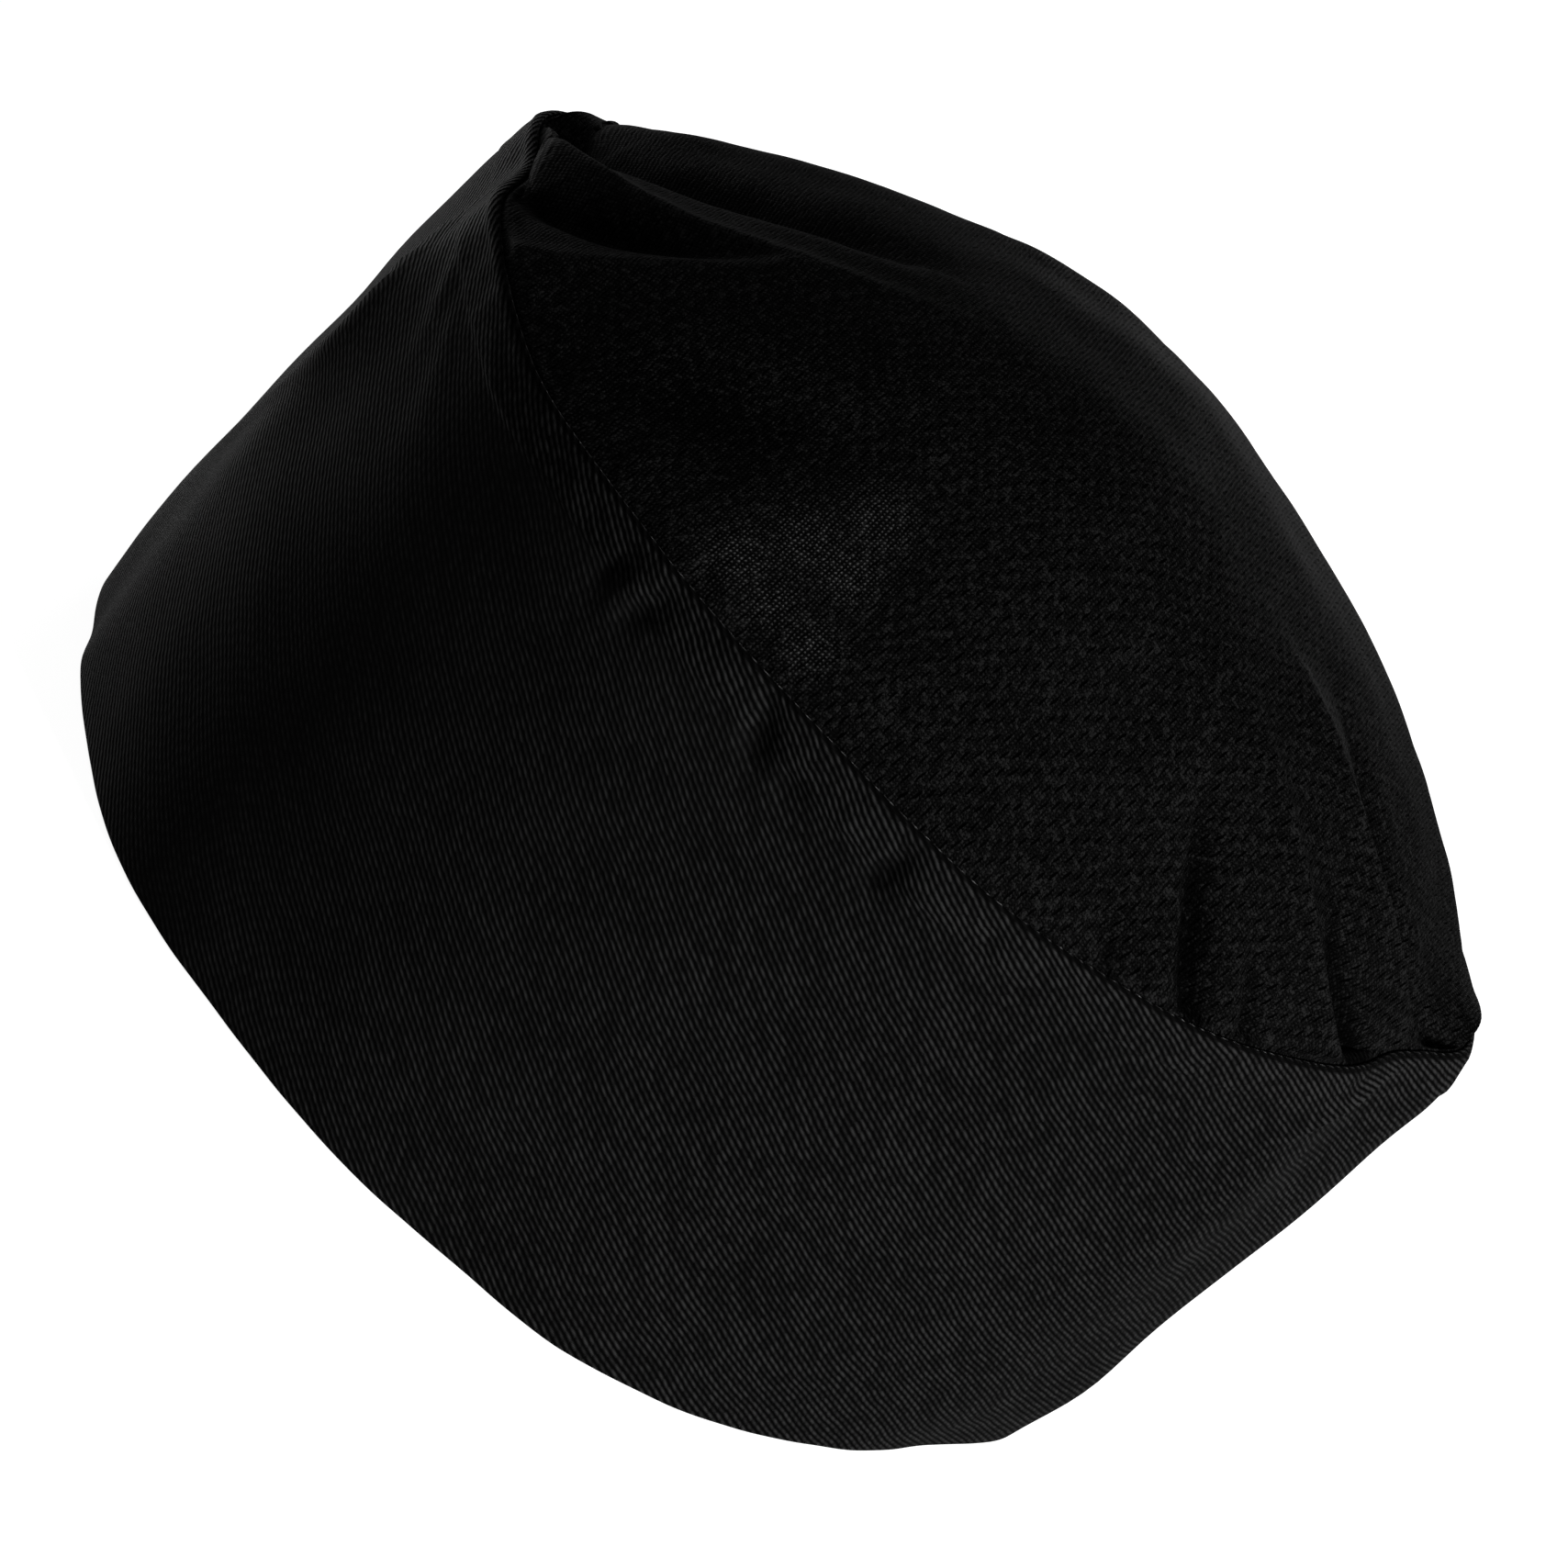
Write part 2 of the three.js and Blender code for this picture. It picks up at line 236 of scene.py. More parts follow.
def makeTwill(bandLength):
    material, nodes = newMaterial("twill")
    along, across = nodes.clothPlace()
    slow = nodes.cloud(nodes.spot(along, across), twill["slowSize"])
    quick = nodes.cloud(nodes.spot(along, across), twill["quickSize"])
    slant = math.radians(twill["waleSlant"])
    drift = ((slow - 0.5) * 4 + (quick - 0.5) * 0.5) * twill["waver"]
    wale = (along * math.sin(slant) + across * math.cos(slant) + drift) / twill["waleSpacing"]
    walk = (along * math.cos(slant) - across * math.sin(slant)) / twill["floatLength"]
    # each wale is a row of floats that lie a little steeper than the row
    row = (wale + 0.5).floor()
    walk = walk + nodes.chance(nodes.spot(row, 0.5))
    luck = nodes.chance(nodes.spot(row, walk.floor()))
    ridge = (wale + (walk.fraction() - 0.5) * twill["floatTilt"]).wave()
    roundFloat = (walk - 0.5).wave()
    roundYarn = (across / twill["yarnSpacing"]).wave()
    shape = ridge * (0.75 + 0.25 * roundYarn) * (0.7 + 0.3 * roundFloat)
    seamWidth = twill["backSeamWidth"]
    seam = abs(along).step(seamWidth, 0) + abs(along - bandLength / mm).step(seamWidth, 0)
    height = shape - seam * twill["backSeamDepth"]
    # painted light and shade: the float tops are painted pale and the grooves dark, then softened by
    # place and made paler or darker by the painted light share
    floats = shape ** twill["waleSharpness"] * (0.5 + twill["floatVariety"] * luck)
    floats = twill["softLight"] + (floats - twill["softLight"]) * nodes.share("paintedWeaveContrast")
    light = floats * (0.75 + 0.5 * slow) * (1 - twill["backSeamShade"] * seam) * nodes.share("paintedLight")
    colour = nodes.mix(light, twill["grooveShadeColour"], twill["waleToneAndSheen"])
    roughness = twill["roughness"] + twill["grooveRoughness"] * (1 - ridge)
    nodes.finish(twill, colour, roughness, height)
    return material


# Knitted mesh. Its wales run across the hat, and rows of slits part them
knit = {
    "lineSpacing": 1.40,
    "slitPitch": 3.9,
    "slitShift": 0.48,
    "slitWidth": 0.42,
    "slitLength": 2.1,
    "slitLean": 0.12,
    "courseSpacing": 0.65,
    "fuzzSize": 0.25,
    "patchSize": 1.4,
    "slowSize": 14.0,
    "quickSize": 1.6,
    "slowWaver": 0.8,
    "quickWaver": 0.5,
    # the slits are not cut through: their colour is painted shade
    "slitShadeColour": grey(0.0001),
    "yarnColour": grey(0.0075),
    # a few stitches carry painted glints
    "stitchGlint": 2.2,
    # colour of the painted glints
    "glintColour": grey(0.075),
    "roughness": 0.5,
    "relief": 0.12,
    "gloss": 0.002,
    "sheen": 0.003,
    "sheenRoughness": 0.3,
}


def makeKnit():
    material, nodes = newMaterial("mesh_knit")
    along, across = nodes.clothPlace()
    place = nodes.spot(along, across)
    slow = nodes.cloud(place, knit["slowSize"])
    quick = nodes.cloud(place, knit["quickSize"])
    patches = nodes.cloud(place, knit["patchSize"]).step(0.3, 0.75)
    fuzz = nodes.cloud(place, knit["fuzzSize"], 0.0).step(0.15, 0.85)
    paintedGlint = nodes.share("paintedGlint")
    along = along + (slow - 0.5) * knit["slowWaver"] + (quick - 0.5) * knit["quickWaver"]
    across = across + (quick - 0.5) * 0.3
    # the slits stand in lines across the hat, each line shifted along itself
    line = along / knit["lineSpacing"]
    slit = across / knit["slitPitch"] - line.floor() * knit["slitShift"]
    beyond = (slit.fraction() - 0.5) * knit["slitPitch"]
    aside = (line.fraction() - 0.5) * knit["lineSpacing"] - beyond * knit["slitLean"]
    wide = (aside / (knit["slitWidth"] / 2)) ** 2
    long = (beyond / (knit["slitLength"] / 2)) ** 2
    open_ = nodes.chance(nodes.spot(line.floor(), slit.floor()))
    # hole marks the slits: their dent in the relief, and where their painted shade goes
    hole = (wide + long).step(1.5, 0.4) * (0.6 + 0.4 * open_)
    # two wales of stitches lie between the lines
    wale = line * 2
    bend = abs(wale.fraction() - 0.5)
    course = across / knit["courseSpacing"] + bend * 0.5
    stitch = (wale - 0.5).wave() * course.wave()
    luck = nodes.chance(nodes.spot(wale.floor(), (course + 0.5).floor()))
    height = stitch * 0.6 + 0.4 - hole * 1.5
    # painted light: a few stitches are bright as painted glints; stitches are also paler at their
    # middles and darker between them
    bright = 0.45 + luck ** 3 * (0.3 + patches) * knit["stitchGlint"]
    light = (0.25 + 0.75 * stitch) * bright * (0.2 + 1.6 * fuzz)
    light = light * (0.7 + 0.6 * slow) * nodes.share("paintedLight")
    colour = nodes.mix(light, knit["slitShadeColour"], knit["yarnColour"])
    # painted glints on the stitch tops in the glint spots, where the slits' painted shade is also
    # lessened; roughness is lower there too
    glint = stitch ** 3.0 * (0.2 + 0.8 * luck) * paintedGlint
    colour = nodes.mix(hole * (1 - 0.8 * paintedGlint), colour, knit["slitShadeColour"])
    colour = nodes.mix(glint, colour, knit["glintColour"])
    roughness = knit["roughness"] + 0.2 * (1 - stitch) - 0.15 * paintedGlint
    nodes.finish(knit, colour, roughness, height)
    return material


# The turned-in edges of both cloths, with a fluffy surface
edging = {
    "nap": 0.5,
    "darkColour": grey(0.002),
    "paleColour": grey(0.009),
    "roughness": 0.85,
    "relief": 0.15,
    "gloss": 0.1,
    "sheen": 0.08,
    "sheenRoughness": 0.5,
}


def makeEdging():
    material, nodes = newMaterial("overlocked_edge")
    along, across = nodes.clothPlace()
    wale = (along * 0.34 + across * 0.94) / twill["waleSpacing"]
    nap = nodes.cloud(nodes.spot(along, across), edging["nap"], 3.0)
    height = wale.wave() * 0.7 + nap * 0.3
    colour = nodes.mix(height * nap * 1.6, edging["darkColour"], edging["paleColour"])
    nodes.finish(edging, colour, edging["roughness"] + 0.1 * nap, height)
    return material


# Thread of the overlocked edge
thread = {
    "strandLength": 0.22,
    "darkColour": grey(0.004),
    "paleColour": grey(0.02),
    "roughness": 0.55,
    "relief": 0.04,
    "gloss": 0.25,
    "sheen": 0.05,
    "sheenRoughness": 0.4,
}


def makeThread():
    material, nodes = newMaterial("thread")
    place = nodes.add("ShaderNodeTexCoord", {}, {}, 3)
    x = nodes.add("ShaderNodeSeparateXYZ", {}, {0: place}, 0)
    z = nodes.add("ShaderNodeSeparateXYZ", {}, {0: place}, 2)
    strand = ((x + z) / (thread["strandLength"] * mm)).wave()
    colour = nodes.mix(strand, thread["darkColour"], thread["paleColour"])
    nodes.finish(thread, colour, thread["roughness"] + 0.1 * strand, strand)
    return material


def bell(distance, width):
    return np.exp(-((distance / width) ** 2))


def smooth(value):
    t = np.clip(value, 0, 1)
    return t * t * (3 - 2 * t)


def turnBetween(a, b):
    return (a - b + 540) % 360 - 180


# Smooth curve through rows of (place, value), without overshoot
def curveThrough(rows):
    x, y = np.array(rows, float).T
    rise = np.diff(y) / np.diff(x)
    slope = np.concatenate([rise[:1], rise])
    for i in range(1, len(rise)):
        turns = rise[i - 1] * rise[i] <= 0
        slope[i] = 0 if turns else 2 * rise[i - 1] * rise[i] / (rise[i - 1] + rise[i])

    def curve(at):
        k = np.clip(np.searchsorted(x, at, side="right") - 1, 0, len(x) - 2)
        step = x[k + 1] - x[k]
        t = np.clip((at - x[k]) / step, 0, 1)
        held = (1 + 2 * t) * (1 - t) ** 2 * y[k] + t * t * (3 - 2 * t) * y[k + 1]
        return held + step * (t * (1 - t) ** 2 * slope[k] + t * t * (t - 1) * slope[k + 1])

    return curve


# Soft unevenness of cloth, between about -1 and 1
def unevenness(points, size, seed):
    shift = Vector((seed * 17.3, seed * 5.1, seed * 9.7))
    flat = points.reshape(-1, 3)
    values = [noise.noise(Vector(point) / size + shift) for point in flat]
    return np.array(values).reshape(points.shape[:-1])


# The same, from a row of height, size and seed
def swell(points, row):
    height, size, seed = row
    return height * unevenness(points, size, seed)


def unit(vectors):
    return vectors / np.maximum(np.linalg.norm(vectors, axis=-1, keepdims=True), 1e-9)


def lengthsAlong(points, axis):
    steps = np.linalg.norm(np.diff(points, axis=axis), axis=-1)
    start = np.zeros_like(np.take(steps, [0], axis=axis))
    return np.cumsum(np.concatenate([start, steps], axis=axis), axis=axis)


# A fold starts, bends and ends at places of the surface. Its two sides have their own widths,
# left and right as seen from outside when walking along it. Crisp 1 is a sharp crease.
foldColumns = (
    "startA", "startB", "midA", "midB", "endA", "endB",
    "leftWidth", "rightWidth", "height", "crisp", "startShare",
)
foldSteps = 16
foldEndShare = 0.92
creaseRound = 0.45
creaseReach = 0.6


def foldLift(points, folds, surface, heart):
    flat = points.reshape(-1, 3)
    lift = np.zeros(len(flat))
    t = np.linspace(0, 1, foldSteps + 1)
    for row in folds:
        fold = dict(zip(foldColumns, row))
        blend = [(1 - t) ** 2, 2 * t * (1 - t), t * t]
        a = sum(share * fold[name] for share, name in zip(blend, ("startA", "midA", "endA")))
        b = sum(share * fold[name] for share, name in zip(blend, ("startB", "midB", "endB")))
        line = surface(a, b)
        widest = max(fold["leftWidth"], fold["rightWidth"])
        reach = 3 * widest
        close = np.all((flat > line.min(0) - reach) & (flat < line.max(0) + reach), axis=1)
        near = flat[close]
        best = np.full(len(near), np.inf)
        side = np.zeros(len(near))
        walked = np.zeros(len(near))
        for k in range(foldSteps):
            way = line[k + 1] - line[k]
            share = np.clip((near - line[k]) @ way / (way @ way), 0, 1)
            away = near - line[k] - share[:, None] * way
            far = np.linalg.norm(away, axis=1)
            leftWay = np.cross(line[k] - heart, way)
            nearer = far < best
            best = np.where(nearer, far, best)
            side = np.where(nearer, away @ leftWay, side)
            walked = np.where(nearer, (k + share) / foldSteps, walked)
        width = np.where(side > 0, fold["leftWidth"], fold["rightWidth"])
        soft = bell(best, width)
        crease = np.exp((creaseRound - np.hypot(best, creaseRound)) / (creaseReach * width))
        start = fold["startShare"]
        strength = np.sin(math.pi * (start + (foldEndShare - start) * walked))
        profile = soft * (1 - fold["crisp"]) + crease * fold["crisp"]
        lift[close] += fold["height"] * strength * profile
    return lift.reshape(points.shape[:-1])


# Mesh over a grid of crossings. Crossings may share a point, as at a tip or where a loop closes.
# Shares are numbers of each point that the material reads by name.
def clothMesh(name, points, crossings, places, material, shares):
    faces = []
    corners = []
    for i in range(crossings.shape[0] - 1):
        for j in range(crossings.shape[1] - 1):
            ring = [(i, j), (i + 1, j), (i + 1, j + 1), (i, j + 1)]
            ring = [c for k, c in enumerate(ring) if crossings[c] != crossings[ring[k - 1]]]
            if len(ring) > 2:
                faces.append([int(crossings[c]) for c in ring])
                corners.extend(ring)
    mesh = bpy.data.meshes.new(name)
    mesh.from_pydata((points * mm).tolist(), [], faces)
    rows, columns = np.array(corners).T
    layer = mesh.uv_layers.new(name="cloth")
    layer.data.foreach_set("uv", (places[rows, columns] * mm).astype(np.float32).ravel())
    for title, values in shares.items():
        attribute = mesh.attributes.new(title, "FLOAT", "POINT")
        attribute.data.foreach_set("value", values.astype(np.float32).ravel())
    mesh.shade_smooth()
    mesh.materials.append(material)
    piece = bpy.data.objects.new(name, mesh)
    bpy.context.scene.collection.objects.link(piece)
    return piece


def thicken(piece, thickness):
    wall = piece.modifiers.new("wall", "SOLIDIFY")
    wall.thickness = thickness * mm
    wall.offset = -1
    wall.use_even_offset = False
    wall.use_quality_normals = True


# Plans, heights and ends of the band are those of the solid that it replaces
bandLow, bandHigh = (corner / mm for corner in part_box("band"))
bandShape = {
    "hem": {
        "halfLength": 101.5, "halfWidth": 87.4, "centre": -2.6,
        "frontNear": 1.88, "backNear": 1.62, "frontFar": 1.88, "backFar": 1.72,
    },
    "seam": {
        "halfLength": 103.7, "halfWidth": 86.3, "centre": 1.4,
        "frontNear": 2.25, "backNear": 1.98, "frontFar": 1.9, "backFar": 1.85,
    },
    "fall": 2.9,
    "endSwell": 3.4,
    "wall": 1.6,
    "lip": 1.0,
    "cloth": 0.5,
    # painted light and shade for the twill: how deep each is, and the headings where the last two are
    # strongest
    "lipShadeDepth": 0.9,
    "lipShade": 0.9,
    "creaseHighlight": 0.4,
    "puckerShade": 0.6,
    "stripSheen": 0.35,
    "stripFadeAt": -150,
    "stripFadeWidth": 26,
    "weaveShadeSoftening": 0.6,
    "softAt": -135,
    "softWidth": 38,
    # heading, depth, width
    "tucks": [
        (-169.5, 4.8, 8), (-156.5, 1.5, 5), (-22, 4.8, 13), (-10, 4.4, 7.5),
        (168, 4.2, 8), (14, 3.4, 9),
    ],
    "tuckFade": 2.2,
    # places where the seam sags: heading, drop, width
    "sags": [(-137, 1.5, 11), (-68, 1.0, 15), (158, 4.2, 15), (22, 1.2, 14)],
    # places where the lower edge stands out or in: heading, out, width
    "hemBulges": [
        (-168, -1.5, 5), (-133, 2.9, 14), (-85, -1.0, 9), (-68, 1.4, 7), (-54, 4.3, 19),
        (-13, -3.2, 10), (60, 3.0, 20), (130, 2.0, 14),
    ],
    # heading, level, width in degrees, width in levels, out
    "bumps": [
        (180, 0.14, 25, 0.16, 2.2), (180, 0.60, 25, 0.10, -1.0), (178, 0.95, 12, 0.12, 1.4),
        (-2, 0.14, 25, 0.13, 2.2), (-2, 0.53, 20, 0.12, -0.4), (0, 0.92, 10, 0.10, 2.2),
    ],
    # heading low, heading high, level, spread, height, width
    "ridges": [
        (-172, -158, 0.72, 0.34, 2.2, 6),
        (-22, -23, 0.80, 0.26, 1.8, 7),
        (-146, -150, 0.75, 0.25, -1.2, 8),
        (-40, -36, 0.78, 0.26, -1.2, 9),
        (158, 152, 0.70, 0.30, 1.6, 9),
        (26, 30, 0.70, 0.30, 1.6, 10),
    ],
    # creases by heading and level, finer than the ridges above
    "creases": [
        (-167.5, 0.97, -158, 0.80, -162, 0.60, 2.2, 3.0, 1.3, 0.7, 0.15),
        (-162, 0.66, -165, 0.50, -175, 0.30, 2.6, 3.2, 1.1, 0.6, 0.15),
        (-157, 0.93, -153, 0.88, -150, 0.80, 2.6, 2.6, 0.8, 0.4, 0.12),
        (-151, 0.90, -147, 0.85, -143, 0.80, 2.6, 2.6, 0.6, 0.4, 0.12),
        (-9, 0.99, -21, 0.95, -25, 0.84, 2.6, 2.0, 1.1, 0.7, 0.2),
        (-13, 0.97, -24, 0.90, -30, 0.80, 2.2, 2.2, 0.6, 0.4, 0.2),
        (160, 0.95, 154, 0.85, 156, 0.66, 3, 3, 1.0, 0.5, 0.15),
        (20, 0.96, 25, 0.86, 24, 0.70, 3, 3, 1.0, 0.5, 0.15),
        # short puckers across the strip under the seam
        (-118.5, 0.90, -118.2, 0.93, -117.8, 0.97, 1.8, 2.8, -0.9, 0.3, 0.25),
        (-113.9, 0.90, -113.2, 0.945, -112.2, 0.99, 2.0, 3.2, -1.0, 0.3, 0.3),
        (-96.5, 0.905, -97.5, 0.945, -99, 0.985, 2.0, 3.2, -1.4, 0.3, 0.3),
        (-91.5, 0.89, -92, 0.91, -92.5, 0.94, 1.4, 2.4, -0.7, 0.4, 0.2),
        (-79.2, 0.90, -79, 0.945, -78.6, 0.985, 1.8, 3.0, -1.5, 0.3, 0.3),
        (-66.5, 0.92, -67, 0.945, -67.5, 0.975, 1.2, 2.0, -0.7, 0.4, 0.2),
        (-60, 0.93, -61, 0.955, -62, 0.98, 1.4, 2.4, -0.35, 0.4, 0.2),
        # the strip swells between its puckers
        (-116, 0.90, -115.5, 0.94, -115, 0.98, 2.6, 2.6, 0.5, 0.0, 0.3),
        (-106, 0.935, -103.5, 0.945, -101, 0.945, 3.6, 3.6, 0.6, 0.0, 0.3),
        (-88, 0.93, -85.5, 0.93, -83, 0.935, 3.6, 3.6, 0.5, 0.0, 0.3),
        (-76, 0.94, -73.5, 0.95, -71, 0.955, 3.6, 3.6, 0.6, 0.0, 0.3),
        (70, 0.91, 71, 0.94, 72, 0.98, 1.6, 3.0, -0.7, 0.5, 0.2),
        (98, 0.91, 99, 0.94, 101, 0.98, 1.6, 3.0, -0.8, 0.5, 0.2),
        (124, 0.92, 125, 0.95, 126, 0.98, 1.6, 2.6, -0.5, 0.4, 0.2),
    ],
    # the strip of turned-in edges lifts the cloth a little
    "stripDrop": 9.0,
    "stripLift": 0.42,
    "stripEdge": 1.3,
    # the lip is fuller at these headings: heading, width
    "rollLift": 0.45,
    "rollPlaces": [(-163, 13), (172, 12)],
    # unevenness of the cloth: height, size, seed
    "wideSwell": (0.55, 38.0, 1),
    "smallSwell": (0.22, 15.0, 2),
    "stripSwell": (0.7, 7.0, 3),
    "hemSwell": (0.22, 9.0, 4),
    "rippleSwell": (0.16, 4.0, 5),
    "backSeam": 6,
    "columns": 420,
    "upperRows": 30,
    "upperReach": 14,
    "rowCrowding": 1.25,
    "lowerRows": 32,
    "innerRows": 26,
    "roundRows": 7,
    "hook": 0.6,
}
bandHeight = bandHigh.z - bandShape["fall"]
hatHeart = np.array([bandShape["seam"]["centre"], 0, bandHeight - 30])


def ovalReach(plan, heading):
    c = np.cos(heading)
    s = np.sin(heading)
    back = 0.5 + 0.5 * np.tanh(4 * c)
    far = 0.5 + 0.5 * np.tanh(4 * s)
    nearSide = plan["frontNear"] * (1 - back) + plan["backNear"] * back
    farSide = plan["frontFar"] * (1 - back) + plan["backFar"] * back
    n = nearSide * (1 - far) + farSide * far
    return (np.abs(c / plan["halfLength"]) ** n + np.abs(s / plan["halfWidth"]) ** n) ** (-1 / n)


# Outer face of the band, level 0 at the lower edge and 1 at the seam
def plainBand(heading, level):
    degrees = np.degrees(heading)
    tuck = sum(depth * bell(turnBetween(degrees, at), width) for at, depth, width in bandShape["tucks"])
    ridge = 0
    for low, high, middle, spread, height, width in bandShape["ridges"]:
        line = low + (high - low) * level
        ridge = ridge + height * bell(turnBetween(degrees, line), width) * bell(level - middle, spread)
    bulges = bandShape["hemBulges"]
    bulge = sum(out * bell(turnBetween(degrees, at), width) for at, out, width in bulges)
    bump = 0
    for at, middle, width, spread, out in bandShape["bumps"]:
        bump = bump + out * bell(turnBetween(degrees, at), width) * bell(level - middle, spread)
    hem, seam = bandShape["hem"], bandShape["seam"]
    lowReach = ovalReach(hem, heading)
    highReach = ovalReach(seam, heading)
    c = np.cos(heading)
    s = np.sin(heading)
    swell = bandShape["endSwell"] * np.sin(math.pi * level ** 1.4) * c * c
    reach = lowReach + (highReach - lowReach) * level
    reach = reach - tuck * level ** bandShape["tuckFade"] + ridge * smooth(level * 4)
    reach = reach + bulge * (1 - level) ** 1.5 + bump
    centre = hem["centre"] + (seam["centre"] - hem["centre"]) * level
    top = bandTop(heading)
    return np.stack([centre + (reach + swell) * c, (reach + 0.3 * swell) * s, top * level], -1)


def bandTop(heading):
    high = ovalReach(bandShape["seam"], heading)
    tilt = bandShape["fall"] * np.cos(heading) * high / bandShape["seam"]["halfLength"]
    degrees = np.degrees(heading)
    sag = sum(drop * bell(turnBetween(degrees, at), width) for at, drop, width in bandShape["sags"])
    return bandHeight - tilt - sag


def bandInwards(heading, level):
    way = plainBand(heading + 0.01, level) - plainBand(heading - 0.01, level)
    return unit(np.stack([-way[..., 1], way[..., 0], 0 * way[..., 0]], -1))


# What the cloth adds to the plain band: the strip's lift, puckers, creases and unevenness
def bandRelief(heading, level):
    points = plainBand(heading, level)
    drop = bandTop(heading) * (1 - level)
    stripLow = smooth((bandShape["stripDrop"] - drop) / bandShape["stripEdge"])
    stripTop = smooth((drop - 0.2) / 1.6)
    puffed = 0.85 + swell(points, bandShape["stripSwell"])
    strip = bandShape["stripLift"] * stripLow * puffed * stripTop
    degrees = np.degrees(heading)
    forehead = sum(bell(turnBetween(degrees, at), width) for at, width in bandShape["rollPlaces"])
    roll = bandShape["rollLift"] * (0.25 + forehead) * bell(drop - 0.9, 0.9)
    ripple = swell(points, bandShape["rippleSwell"]) * bell(drop - 5, 6)
    swellings = swell(points, bandShape["wideSwell"]) + swell(points, bandShape["smallSwell"])
    hem = swell(points, bandShape["hemSwell"]) * bell(level * bandHeight, 9)
    creases = foldLift(points, bandShape["creases"], bandRoute, hatHeart)
    return strip + roll + ripple + swellings * smooth(level * 6) + hem + creases


def bandRoute(degrees, level):
    return plainBand(np.radians(degrees), level)


def bandAt(heading, level, depth):
    relief = bandRelief(heading, level)
    return plainBand(heading, level) + bandInwards(heading, level) * (depth - relief)[..., None]


# The band is one cloth: down inside, round the lower edge, up outside and over at the seam
def makeBand(material):
    shape = bandShape
    start = math.radians(shape["backSeam"])
    turn = start + np.linspace(0, 2 * math.pi, shape["columns"] + 1)
    heading = (turn[:-1] + math.pi) % (2 * math.pi) - math.pi
    top = bandTop(heading)[:, None]
    wall = shape["wall"]
    r = wall / 2
    lipRound = shape["lip"] / 2
    arc = np.linspace(0, math.pi, shape["roundRows"] + 2)[1:-1]
    inside = np.linspace(1, 0, shape["innerRows"])
    lower = np.linspace(0, 1, shape["lowerRows"])
    upper = np.linspace(1, 0, shape["upperRows"] + 1)[1:] ** shape["rowCrowding"]
    ones = np.ones_like(top)
    split = top - shape["upperReach"]
    height = np.concatenate([
        r + inside * (top - shape["hook"] - 2.2 * r - 0.3),
        ones * (r - r * np.sin(arc)),
        r + lower * (split - r),
        top - lipRound - upper * (shape["upperReach"] - lipRound),
        top - lipRound + lipRound * np.sin(arc),
        top - lipRound - np.array([0, shape["hook"]]),
    ], axis=1)
    depth = np.concatenate([
        np.full(len(inside), wall),
        r + r * np.cos(arc),
        np.zeros(len(lower) + len(upper)),
        lipRound - lipRound * np.cos(arc),
        np.full(2, shape["lip"]),
    ])
    level = height / top
    headings = heading[:, None] * np.ones_like(level)
    points = bandAt(headings, level, depth * np.ones_like(level))
    hemRow = len(inside) + len(arc) // 2
    closed = np.concatenate([points, points[:1]])
    up = lengthsAlong(closed, 1)
    up = up - up[:, hemRow:hemRow + 1]
    middle = len(inside) + len(arc) + len(lower) // 2
    around = lengthsAlong(closed[:, middle], 0)
    places = np.stack([around[:, None] * np.ones_like(up), up], -1)
    rows = points.shape[1]
    column = np.arange(shape["columns"] + 1) % shape["columns"]
    crossings = column[:, None] * rows + np.arange(rows)
    # painted light and shade on the wales: a painted sheen on the pressed strip and a painted highlight
    # on creases, and painted shade in puckers and at the lip. The strip's sheen fades, and the wales'
    # painted contrast softens, towards the forehead end of the near side.
    drop = top - height
    degrees = np.degrees(heading)[:, None]
    onStrip = smooth((shape["stripDrop"] + 1 - drop) / 3)
    fade = bell(turnBetween(degrees, shape["stripFadeAt"]), shape["stripFadeWidth"])
    # where the wales' painted light and shade are softened
    soft = bell(turnBetween(degrees, shape["softAt"]), shape["softWidth"])
    crease = foldLift(plainBand(headings, level), shape["creases"], bandRoute, hatHeart)
    paintedCreaseHighlight = shape["creaseHighlight"] * smooth((crease - 0.2) / 0.6)
    paintedPuckerShade = shape["puckerShade"] * smooth((-crease - 0.15) / 0.9)
    lipShadeMask = smooth((shape["lipShade"] - drop) / shape["lipShade"] * 2) * (depth < wall)
    paintedLight = 1 + shape["stripSheen"] * onStrip * (1 - fade)
    paintedLight = paintedLight * (1 + paintedCreaseHighlight - paintedPuckerShade) * (1 - shape["lipShadeDepth"] * lipShadeMask)
    shares = {"paintedLight": paintedLight, "paintedWeaveContrast": 1 - shape["weaveShadeSoftening"] * soft * (1 - onStrip)}
    piece = clothMesh("band_cloth", points.reshape(-1, 3), crossings, places, material, shares)
    thicken(piece, shape["cloth"])
    return piece


# Length of the band's cloth, once around at mid height
def bandRound():
    turn = np.linspace(-math.pi, math.pi, 721)
    return lengthsAlong(plainBand(turn, np.full_like(turn, 0.5)), 0)[-1]


